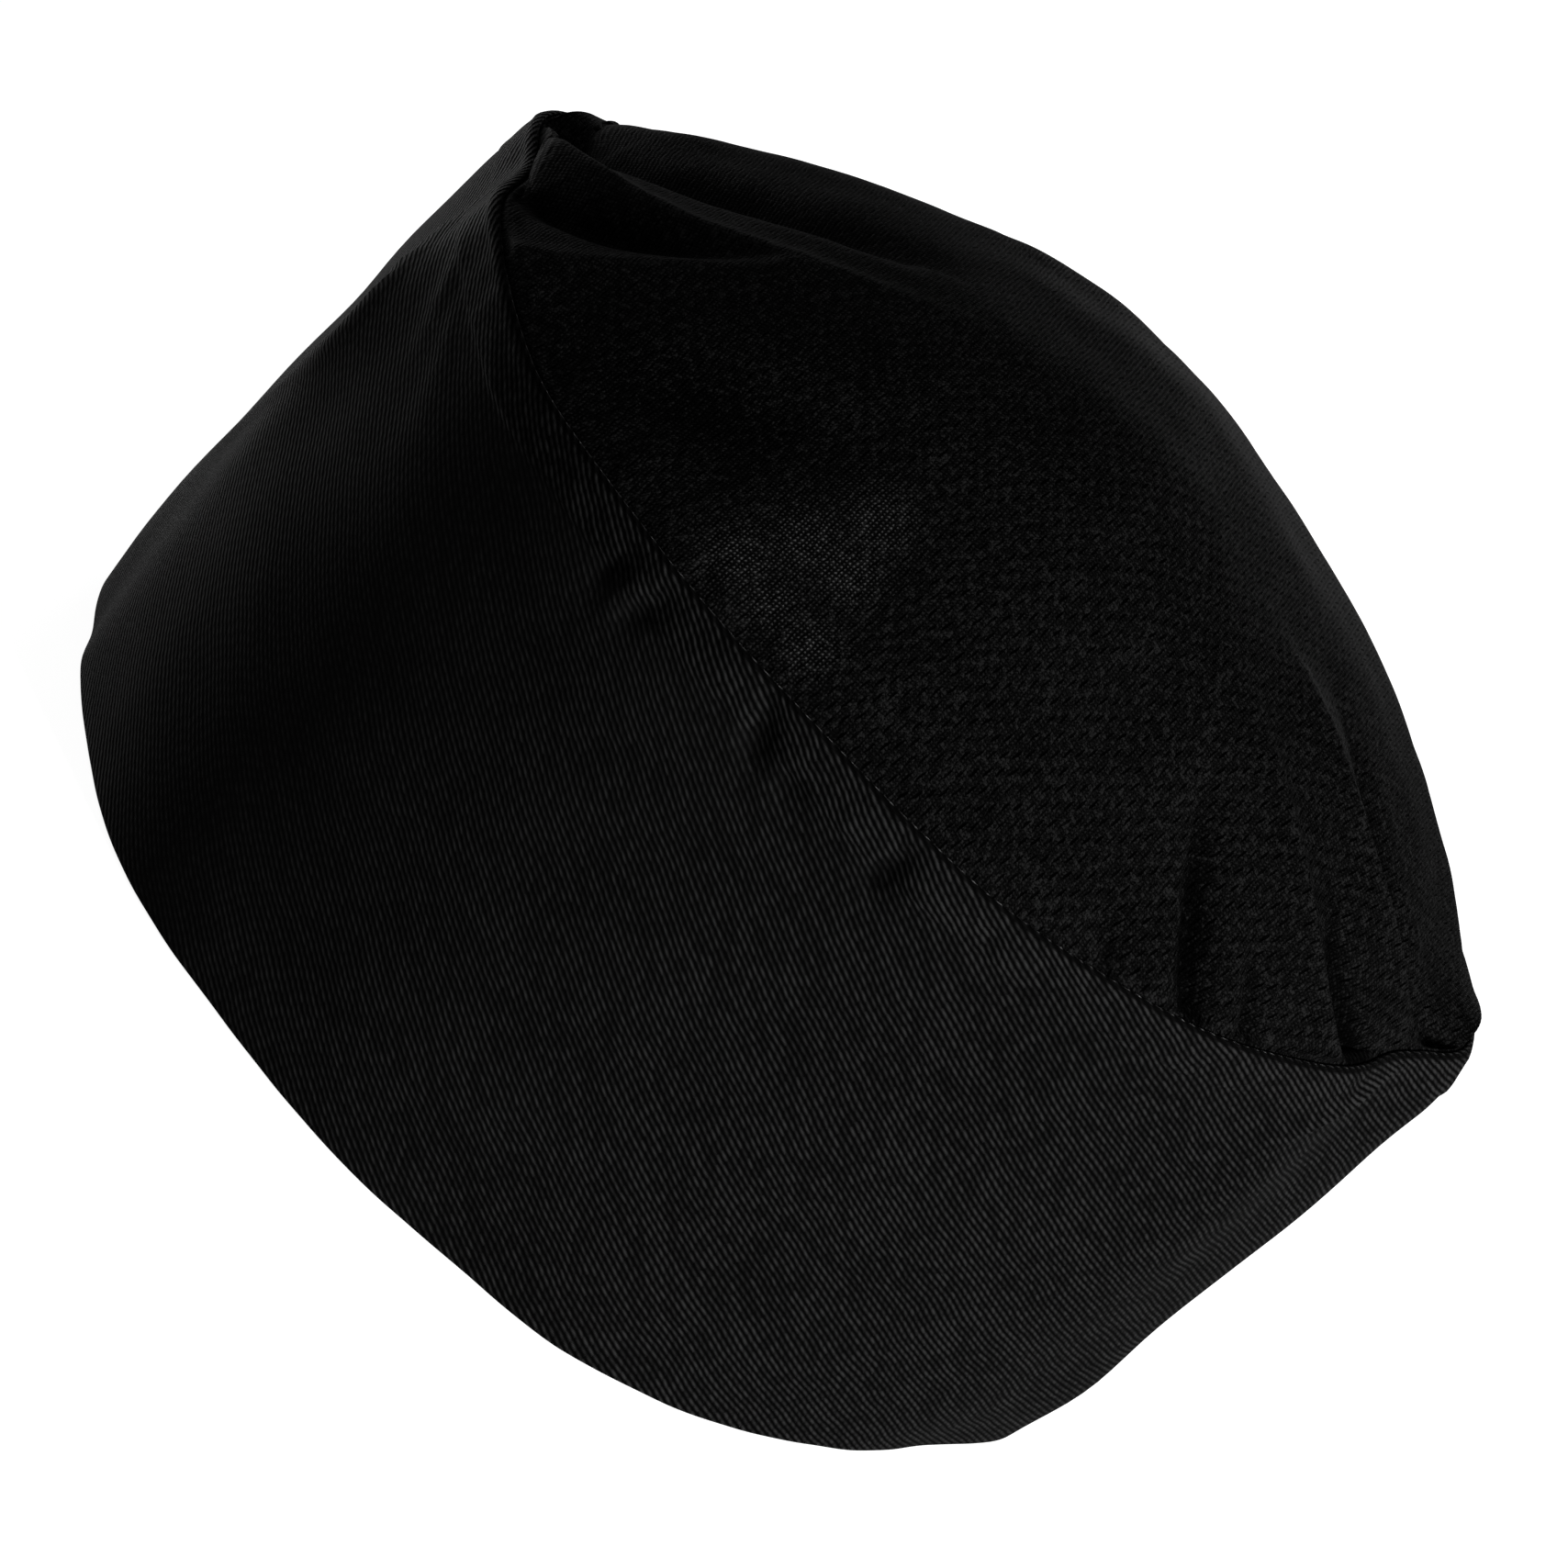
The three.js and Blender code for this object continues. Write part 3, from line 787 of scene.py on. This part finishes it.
crownShape = {
    "rise": 43.6,
    "crest": [
        (-1, 0), (-0.84, 0.33), (-0.6, 0.68), (-0.3, 0.91), (0, 1),
        (0.3, 0.875), (0.6, 0.68), (0.84, 0.36), (1, 0),
    ],
    "arch": [
        (0, 0), (0.018, 0.15), (0.055, 0.30), (0.13, 0.58), (0.23, 0.85), (0.30, 0.94), (0.39, 0.995),
        (0.50, 1), (0.60, 0.925), (0.74, 0.68), (0.87, 0.37), (0.96, 0.13), (1, 0),
    ],
    "inset": 1.3,
    "tuckIn": 1.5,
    "cloth": 0.6,
    # folds by share of the way along the hat and across the crown
    "folds": [
        # two ridges from the forehead end, the nearer one below the other, and the valley between them
        (0.03, 0.22, 0.07, 0.30, 0.16, 0.30, 3.0, 6.0, 2.6, 0.5, 0.20),
        (0.05, 0.33, 0.165, 0.275, 0.38, 0.375, 3.0, 7.0, 1.8, 0.75, 0.20),
        (0.148, 0.00, 0.20, 0.18, 0.29, 0.32, 3.2, 6.0, 1.4, 0.6, 0.25),
        (0.11, 0.13, 0.165, 0.20, 0.27, 0.31, 6.0, 3.5, -4.4, 0.2, 0.15),
        (0.02, 0.42, 0.15, 0.40, 0.33, 0.43, 7.0, 3.0, -5.0, 0.3, 0.25),
        (0.02, 0.60, 0.14, 0.60, 0.36, 0.58, 8.0, 6.0, 1.6, 0.0, 0.20),
        (0.00, 0.95, 0.05, 0.92, 0.13, 0.84, 6.0, 6.0, 1.7, 0.0, 0.35),
        # soft folds of the middle
        (0.24, 0.06, 0.33, 0.14, 0.42, 0.20, 9.0, 9.0, -1.8, 0.0, 0.12),
        (0.36, 0.60, 0.42, 0.62, 0.47, 0.62, 7.0, 7.0, 1.6, 0.0, 0.20),
        (0.55, 0.66, 0.64, 0.68, 0.75, 0.68, 9.0, 9.0, 1.3, 0.0, 0.12),
        # gathers of the nape end: pleats, then two thin ridges with valleys behind them
        (0.695, -0.01, 0.670, 0.045, 0.650, 0.090, 2.0, 3.0, -1.5, 0.3, 0.40),
        (0.751, -0.01, 0.715, 0.09, 0.655, 0.22, 2.4, 3.6, -3.6, 0.3, 0.35),
        (0.795, -0.01, 0.770, 0.07, 0.738, 0.150, 2.0, 2.8, -2.5, 0.3, 0.40),
        (0.868, 0.00, 0.785, 0.205, 0.65, 0.310, 6.0, 2.6, 3.0, 0.75, 0.20),
        (0.888, 0.02, 0.848, 0.15, 0.76, 0.27, 4.0, 3.4, -3.8, 0.2, 0.35),
        (0.90, 0.28, 0.79, 0.315, 0.66, 0.41, 6.0, 2.6, 2.8, 0.75, 0.22),
        (0.90, 0.31, 0.79, 0.375, 0.68, 0.46, 3.6, 4.6, -2.6, 0.3, 0.30),
        (0.929, 0.02, 0.922, 0.17, 0.893, 0.296, 3.0, 3.0, 1.0, 0.6, 0.30),
        (0.985, 0.12, 0.965, 0.26, 0.93, 0.36, 3.4, 3.4, -2.4, 0.2, 0.35),
        (0.97, 0.80, 0.90, 0.74, 0.78, 0.66, 10.0, 10.0, 3.2, 0.0, 0.50),
        # far side
        (0.75, 0.99, 0.72, 0.90, 0.68, 0.83, 4.0, 5.0, -2.4, 0.2, 0.40),
        (0.22, 0.99, 0.25, 0.88, 0.29, 0.80, 5.0, 6.0, -1.4, 0.2, 0.40),
        (0.60, 1.01, 0.61, 0.94, 0.62, 0.90, 2.4, 3.4, -1.1, 0.3, 0.45),
        (0.36, 1.01, 0.37, 0.94, 0.38, 0.90, 2.4, 3.4, -1.1, 0.3, 0.45),
        (0.84, 1.01, 0.80, 0.93, 0.77, 0.88, 2.4, 3.4, -1.6, 0.3, 0.45),
        (0.13, 1.01, 0.16, 0.93, 0.18, 0.88, 2.4, 3.4, -0.6, 0.3, 0.45),
    ],
    "foldFade": 2.0,
    # unevenness of the cloth: height, size, seed
    "wideSwell": (0.5, 24.0, 6),
    "smallSwell": (0.2, 9.0, 7),
    "gatherSwell": (0.45, 4.5, 8),
    # painted light for the knit: folds crisper than this get a narrow painted highlight along their
    # crests, and hollows get painted shade
    "crestCrisp": 0.4,
    "crestLine": {"leftWidth": 1.2, "rightWidth": 1.2, "height": 1.0, "crisp": 0.5},
    "crestHighlight": 0.9,
    "hollowShade": 0.75,
    # places of painted glints where the cloth lies flat, which is also less rough there: along, across,
    # radius in millimetres
    "glintSpots": [
        (0.385, 0.045, 5), (0.405, 0.095, 6), (0.425, 0.15, 5),
        (0.432, 0.10, 5), (0.445, 0.035, 4), (0.415, 0.04, 4),
    ],
    "columns": 290,
    "rows": 156,
}


def nearHeading(along):
    return -math.pi * (1 - along)


archRows = np.array(crownShape["arch"])
archStretch = archRows * [2 * bandShape["seam"]["halfWidth"], crownShape["rise"]]
archWalked = lengthsAlong(archStretch, 0)
archWalked = archWalked / archWalked[-1]
archAcross = curveThrough(list(zip(archWalked, archRows[:, 0])))
archRise = curveThrough(list(zip(archWalked, archRows[:, 1])))
crestAt = curveThrough(crownShape["crest"])


# The seam's two sides are the same all the way across, so makeCrown works them out only once
def plainCrown(along, across, near=None, far=None):
    if near is None:
        near, far = crownEdges(along)
    points = near + (far - near) * archAcross(across)[..., None]
    lift = crownShape["rise"] * crestAt(-np.cos(math.pi * along)) * archRise(across)
    return points + np.stack([0 * lift, 0 * lift, lift], -1)


def crownEdges(along):
    level = np.ones_like(along)
    inset = level * crownShape["inset"]
    return bandAt(nearHeading(along), level, inset), bandAt(-nearHeading(along), level, inset)


def makeCrown(material):
    shape = crownShape
    columns, rows = shape["columns"], shape["rows"]
    along = np.linspace(0, 1, columns + 1)
    across = np.linspace(0, 1, rows + 1)
    near, far = crownEdges(along)
    A, B = np.meshgrid(along, across, indexing="ij")
    near, far = near[:, None], far[:, None]
    points = plainCrown(A, B, near, far)
    alongWay = np.gradient(points, axis=0)
    acrossWay = np.gradient(points, axis=1)
    normal = unit(np.cross(alongWay, acrossWay))
    normal[:2] = normal[2]
    normal[-2:] = normal[-3]
    fromNear = np.linalg.norm(points - near, axis=-1)
    fromSeam = np.minimum(fromNear, np.linalg.norm(points - far, axis=-1))
    fade = smooth(fromSeam / shape["foldFade"])
    lift = foldLift(points, shape["folds"], plainCrown, hatHeart)
    lift = lift + swell(points, shape["wideSwell"]) + swell(points, shape["smallSwell"])
    # ripples by the seam run across it, so they are long that way
    squeezed = points * [1, 0.35, 0.35]
    lift = lift + swell(squeezed, shape["gatherSwell"]) * bell(fromSeam - 2, 9)
    # painted light: a narrow painted highlight along sharp crests, and painted shade in hollows
    crests = []
    for row in shape["folds"]:
        fold = dict(zip(foldColumns, row))
        if fold["height"] > 0 and fold["crisp"] > shape["crestCrisp"]:
            crests.append(list({**fold, **shape["crestLine"]}.values()))
    paintedCrestHighlight = np.clip(foldLift(points, crests, plainCrown, hatHeart), 0, 1)
    paintedHollowShade = smooth((-lift - 0.4) / 2.2)
    paintedLight = 1 + shape["crestHighlight"] * paintedCrestHighlight - shape["hollowShade"] * paintedHollowShade
    paintedLight = np.concatenate([paintedLight[:, :1], paintedLight, paintedLight[:, -1:]], axis=1)
    points = points + normal * (lift * fade)[..., None]
    # cloth coordinates: along the crest, and across from it
    crestWalk = lengthsAlong(points[:, rows // 2], 0)
    acrossWalk = lengthsAlong(points, 1)
    acrossWalk = acrossWalk - acrossWalk[:, rows // 2][:, None]
    # one more row on each side goes down behind the band's lip
    level = np.full_like(along, 1 - shape["tuckIn"] / bandHeight)
    inset = np.full_like(along, shape["inset"])
    nearLow = bandAt(nearHeading(along), level, inset)
    farLow = bandAt(-nearHeading(along), level, inset)
    grid = np.concatenate([nearLow[:, None], points, farLow[:, None]], axis=1)
    tuckIn = shape["tuckIn"]
    walk = np.concatenate([acrossWalk[:, :1] - tuckIn, acrossWalk, acrossWalk[:, -1:] + tuckIn], axis=1)
    places = np.stack([crestWalk[:, None] * np.ones_like(walk), walk], -1)
    crossings = np.arange(grid.shape[0] * grid.shape[1]).reshape(grid.shape[:2])
    for end in (0, -1):
        crossings[end, 1:-1] = crossings[end, 1]
        crossings[end, -1] = crossings[end, 0]
    # where the painted glints go, from the glint spots
    paintedGlint = np.zeros(grid.shape[:2])
    for a, b, radius in shape["glintSpots"]:
        middle = plainCrown(np.array([a]), np.array([b]))[0]
        paintedGlint = np.maximum(paintedGlint, bell(np.linalg.norm(grid - middle, axis=-1), radius))
    shares = {"paintedGlint": paintedGlint, "paintedLight": paintedLight}
    piece = clothMesh("crown_cloth", grid.reshape(-1, 3), crossings, places, material, shares)
    removeLoose(piece.data)
    thicken(piece, shape["cloth"])
    return piece


def removeLoose(mesh):
    work = bmesh.new()
    work.from_mesh(mesh)
    bmesh.ops.delete(work, geom=[v for v in work.verts if not v.link_faces], context="VERTS")
    work.to_mesh(mesh)
    work.free()


stripShape = {
    "top": 1.85,
    "height": 7.9,
    "depth": 1.95,
    "thickness": 1.05,
    "columns": 320,
    "faceRows": 6,
    "roundRows": 3,
    "waver": 0.35,
    "waverSize": 6.0,
    "seed": 9,
}


def makeStrip(material):
    shape = stripShape
    turn = np.linspace(-math.pi, math.pi, shape["columns"] + 1)
    heading = turn[:-1]
    top = bandTop(heading)[:, None]
    r = shape["thickness"] / 2
    arc = np.linspace(0, math.pi, shape["roundRows"] + 2)
    face = np.linspace(0, 1, shape["faceRows"] + 2)[1:-1]
    reach = shape["height"] - 2 * r
    # the section is walked up outside, over the top, down inside and round the lower edge
    drop = np.concatenate([reach * (1 - face), -r * np.sin(arc), reach * face, reach + r * np.sin(arc)])
    depth = np.concatenate([0 * face, r - r * np.cos(arc), 0 * face + 2 * r, r + r * np.cos(arc)])
    middle = plainBand(heading, np.full_like(heading, 0.93))
    wave = unevenness(middle, shape["waverSize"], shape["seed"])[:, None]
    sink = shape["waver"] * wave * (drop / reach)
    lean = shape["waver"] * np.maximum(wave, 0) * (drop / reach)
    height = top - shape["top"] - r - drop + sink
    level = height / top
    ones = np.ones_like(level)
    points = bandAt(heading[:, None] * ones, level, (shape["depth"] + depth) * ones + lean)
    rows = points.shape[1]
    column = np.arange(shape["columns"] + 1) % shape["columns"]
    crossings = column[:, None] * rows + np.arange(rows + 1) % rows
    loops = np.concatenate([points, points[:1]])
    loops = np.concatenate([loops, loops[:, :1]], axis=1)
    places = np.stack([lengthsAlong(loops, 0), lengthsAlong(loops, 1)], -1)
    piece = clothMesh("turned_in_edges", points.reshape(-1, 3), crossings, places, material, {})
    lowEdge = points[:, rows - len(arc) // 2 - 1]
    return piece, lowEdge


# Thread over the lower edge of the strip: a zigzag on its inner face and a line of needle thread
stitchShape = {
    "pitch": 2.2,
    "threadRadius": 0.13,
    "lineHeight": 4.7,
    "faceOut": 0.68,
    "sides": 4,
    "unevenness": 0.06,
    "seed": 4,
}


def tubeAlong(route, radius, sides):
    route = np.array(route, float)
    ways = unit(np.gradient(route, axis=0))
    across = unit(np.cross(ways, [0.3, 1, 0.2]))
    other = np.cross(ways, across)
    turns = np.linspace(0, 2 * math.pi, sides, endpoint=False)
    rings = []
    for p, a, b in zip(route, across, other):
        rings.extend(p + radius * (math.cos(t) * a + math.sin(t) * b) for t in turns)
    faces = []
    for k in range(len(route) - 1):
        for i in range(sides):
            j = (i + 1) % sides
            faces.append([k * sides + i, k * sides + j, (k + 1) * sides + j, (k + 1) * sides + i])
    last = (len(route) - 1) * sides
    faces.append(list(range(sides))[::-1])
    faces.append([last + i for i in range(sides)])
    return rings, faces


def makeStitch():
    pitch = stitchShape["pitch"]
    out = stitchShape["faceOut"]
    line = stitchShape["lineHeight"]
    half = pitch / 2
    routes = [
        [(0, out, line), (half * 0.8, out + 0.05, 0.3), (half, 0.1, -0.5), (half, -0.5, 0.2)],
        [(half * 1.1, out + 0.02, 0.2), (pitch * 0.98, out, line - 0.1)],
        [(0.1, out, line), (half, out + 0.12, line + 0.02), (pitch - 0.1, out, line)],
    ]
    points = []
    faces = []
    for route in routes:
        ring, sides = tubeAlong(route, stitchShape["threadRadius"], stitchShape["sides"])
        faces.extend([[len(points) + i for i in face] for face in sides])
        points.extend(ring)
    mesh = bpy.data.meshes.new("stitch")
    mesh.from_pydata((np.array(points) * mm).tolist(), [], faces)
    stitch = bpy.data.objects.new("stitch", mesh)
    bpy.context.scene.collection.objects.link(stitch)
    return stitch


# A tree that repeats one stitch along a closed line, upright and turned with the line
def stitchTree(material):
    tree = bpy.data.node_groups.new("edgeStitches", "GeometryNodeTree")
    face = tree.interface
    face.new_socket("Geometry", in_out="INPUT", socket_type="NodeSocketGeometry")
    face.new_socket("Stitch", in_out="INPUT", socket_type="NodeSocketObject")
    face.new_socket("Pitch", in_out="INPUT", socket_type="NodeSocketFloat")
    face.new_socket("Unevenness", in_out="INPUT", socket_type="NodeSocketFloat")
    face.new_socket("Seed", in_out="INPUT", socket_type="NodeSocketInt")
    face.new_socket("Geometry", in_out="OUTPUT", socket_type="NodeSocketGeometry")
    nodes = Nodes(tree)
    given = tree.nodes.new("NodeGroupInput")
    inputs = {socket.name: Wire(nodes, socket) for socket in given.outputs if socket.name}
    line = nodes.add("GeometryNodeMeshToCurve", {}, {0: inputs["Geometry"]})
    values = {"Curve": line, "Length": inputs["Pitch"]}
    points = nodes.add("GeometryNodeCurveToPoints", {"mode": "LENGTH"}, values)
    along = Wire(nodes, points.socket.node.outputs["Tangent"])
    turn = nodes.add(
        "FunctionNodeAxesToRotation", {"primary_axis": "X", "secondary_axis": "Z"},
        {"Primary Axis": along, "Secondary Axis": (0, 0, 1)},
    )
    values = {2: 1 - inputs["Unevenness"], 3: 1 + inputs["Unevenness"], "Seed": inputs["Seed"]}
    size = nodes.add("FunctionNodeRandomValue", {"data_type": "FLOAT"}, values, 1)
    shape = nodes.add("GeometryNodeObjectInfo", {}, {"Object": inputs["Stitch"]}, "Geometry")
    scale = nodes.add("ShaderNodeCombineXYZ", {}, {0: 1.0, 1: 1.0, 2: size})
    values = {"Points": points, "Instance": shape, "Rotation": turn, "Scale": scale}
    copies = nodes.add("GeometryNodeInstanceOnPoints", {}, values)
    real = nodes.add("GeometryNodeRealizeInstances", {}, {"Geometry": copies})
    done = nodes.add("GeometryNodeSetMaterial", {}, {"Geometry": real, "Material": material})
    tree.links.new(done.socket, tree.nodes.new("NodeGroupOutput").inputs[0])
    return tree


def makeStitches(lowEdge, material):
    count = len(lowEdge)
    mesh = bpy.data.meshes.new("edgeLine")
    edges = [(i, (i + 1) % count) for i in range(count)]
    mesh.from_pydata((lowEdge * mm).tolist(), edges, [])
    line = bpy.data.objects.new("edgeLine", mesh)
    bpy.context.scene.collection.objects.link(line)
    stitch = makeStitch()
    tree = stitchTree(material)
    work = line.modifiers.new("stitches", "NODES")
    work.node_group = tree
    length = lengthsAlong(np.concatenate([lowEdge, lowEdge[:1]]), 0)[-1]
    wanted = {
        "Stitch": stitch,
        "Pitch": length / round(length / stitchShape["pitch"]) * mm,
        "Unevenness": stitchShape["unevenness"],
        "Seed": stitchShape["seed"],
    }
    for item in tree.interface.items_tree:
        if item.in_out == "INPUT" and item.name in wanted:
            work[item.identifier] = wanted[item.name]
    bpy.context.view_layer.update()
    ready = line.evaluated_get(bpy.context.evaluated_depsgraph_get())
    finished = bpy.data.meshes.new_from_object(ready)
    piece = bpy.data.objects.new("edge_thread", finished)
    bpy.context.scene.collection.objects.link(piece)
    bpy.data.objects.remove(line)
    bpy.data.objects.remove(stitch)
    return piece


band = makeBand(makeTwill(bandRound() * mm))
print("band made,", len(band.data.polygons), "faces before its thickness")
crown = makeCrown(makeKnit())
print("crown made,", len(crown.data.polygons), "faces before its thickness")
strip, stripEdge = makeStrip(makeEdging())
stitches = makeStitches(stripEdge, makeThread())
print("turned-in edges made,", len(stitches.data.polygons), "faces of thread")

for piece, node, slot in (
    (band, "band", "twill"),
    (crown, "crown", "mesh_knit"),
    (strip, "seam_allowance", "overlocked_edge"),
):
    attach(piece, "root")
    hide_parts(node)
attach(stitches, "root")

stage = {
    "floorSize": 6.0,
    "floorDrop": 0.0002,
    "floorColour": grey(0.3),
    "floorGlow": 0.93,
    "skyColour": grey(0.9),
    "skyStrength": 0.32,
    # name, place, size, power
    "lights": [
        ("keyLight", (1.95, -1.12, 0.8), 0.6, 128),
        ("backLight", (0.1, 2.2, 0.4), 0.8, 16),
        ("rimLight", (-1.65, 1.45, -0.4), 1.5, 75),
    ],
    "lightAim": (0, 0, 0.07),
}


def makeStage():
    half = stage["floorSize"] / 2
    z = -stage["floorDrop"]
    mesh = bpy.data.meshes.new("floor")
    corners = [(-half, -half, z), (half, -half, z), (half, half, z), (-half, half, z)]
    mesh.from_pydata(corners, [], [(0, 1, 2, 3)])
    floor = bpy.data.objects.new("floor", mesh)
    bpy.context.scene.collection.objects.link(floor)
    material, nodes = newMaterial("floor")
    values = {
        "Base Color": stage["floorColour"],
        "Roughness": 0.9,
        "Specular IOR Level": 0.1,
        "Emission Color": (1, 1, 1, 1),
        "Emission Strength": stage["floorGlow"],
    }
    surface = nodes.add("ShaderNodeBsdfPrincipled", {}, values)
    nodes.add("ShaderNodeOutputMaterial", {}, {"Surface": surface})
    mesh.materials.append(material)
    # the floor glows white to the camera alone, since its glow would light the hat from below
    floor.visible_diffuse = False
    floor.visible_glossy = False
    # the rim light stands lower than the floor and shines through it, onto the band's far left
    floor.visible_shadow = False
    for name, place, size, power in stage["lights"]:
        data = bpy.data.lights.new(name, "AREA")
        data.size = size
        data.energy = power
        light = bpy.data.objects.new(name, data)
        light.location = place
        away = Vector(place) - Vector(stage["lightAim"])
        light.rotation_euler = away.to_track_quat("Z", "Y").to_euler()
        bpy.context.scene.collection.objects.link(light)
    world = bpy.data.worlds.new("studio")
    world.use_nodes = True
    sky = Nodes(world.node_tree)
    values = {"Color": stage["skyColour"], "Strength": stage["skyStrength"]}
    sky.add("ShaderNodeOutputWorld", {}, {"Surface": sky.add("ShaderNodeBackground", {}, values)})
    bpy.context.scene.world = world
    bpy.context.scene.view_settings.view_transform = "Standard"


makeStage()
print("stage lit")
